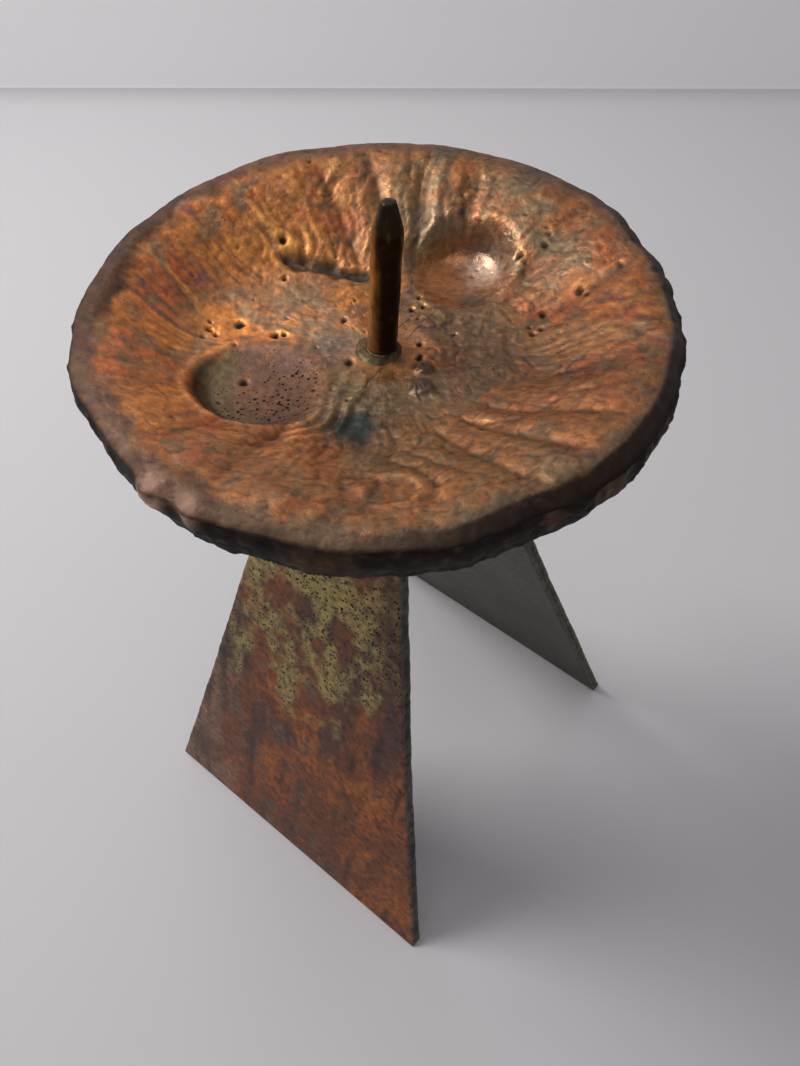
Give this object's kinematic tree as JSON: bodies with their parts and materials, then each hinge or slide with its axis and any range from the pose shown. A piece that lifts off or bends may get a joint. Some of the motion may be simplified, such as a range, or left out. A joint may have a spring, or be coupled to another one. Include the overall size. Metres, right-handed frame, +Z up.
{
  "type": "pricket candle holder",
  "caption": "Cast metal candle dish with a central spike, carried on two leaning sheet-metal leg plates brazed under it; holds a pillar candle on a table.",
  "frame": {"origin": "on the table, at the centre of the object's footprint, midway between the two leg plates", "axes": "+Z up along the spike, +X along the leg plates' bottom edges, Y across from the front plate (-Y) to the back plate (+Y)"},
  "size_m": [0.121, 0.1243, 0.2255],
  "materials": {
    "cast_copper": "rough cast, flame patina from orange copper to brown",
    "spike_brass": "dark tarnished",
    "leg_sheet": "mottled flame patina, dull",
    "braze": "as deposited, tarnished"
  },
  "bodies": {
    "root": {"cast_dish": "cast_copper", "pricket_spike": "spike_brass", "spike_braze_collar": "braze", "front_leg_plate": "leg_sheet", "back_leg_plate": "leg_sheet", "front_outer_braze_bead": "braze", "front_inner_braze_bead": "braze", "back_outer_braze_bead": "braze", "back_inner_braze_bead": "braze"}
  },
  "joints": []
}
